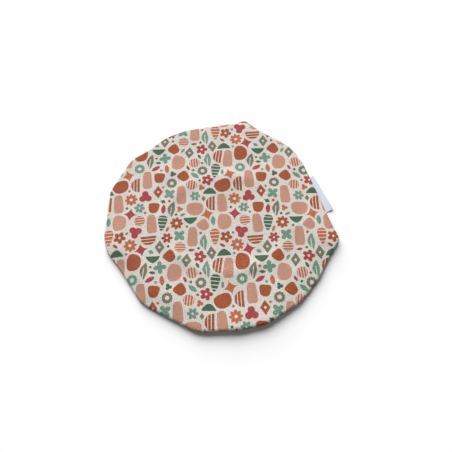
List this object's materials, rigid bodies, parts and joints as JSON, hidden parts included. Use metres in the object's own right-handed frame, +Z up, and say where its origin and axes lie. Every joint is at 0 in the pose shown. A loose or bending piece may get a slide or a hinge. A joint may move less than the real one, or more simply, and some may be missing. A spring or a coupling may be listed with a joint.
{
  "type": "bowl cover",
  "caption": "Round printed cloth bowl cover with a gathered elastic hem, lying face up with its skirt folded beneath and a plain label showing at the rim.",
  "frame": {"origin": "centre of the footprint's box, on the table that the cover lies on", "axes": "+Z up out of the printed face, +X to the right and -Y towards the viewer as in the picture"},
  "size_m": [0.2609, 0.2527, 0.0107],
  "materials": {
    "printed_cloth": "matt plain-woven cotton canvas with a small many-coloured print on an off-white ground",
    "woven_elastic": "matt white braided elastic",
    "satin_label": "satin-woven white tape with a slight blue cast"
  },
  "bodies": {
    "root": {"cover_cloth": "printed_cloth", "elastic_band": "woven_elastic", "folded_label": "satin_label"}
  },
  "joints": []
}
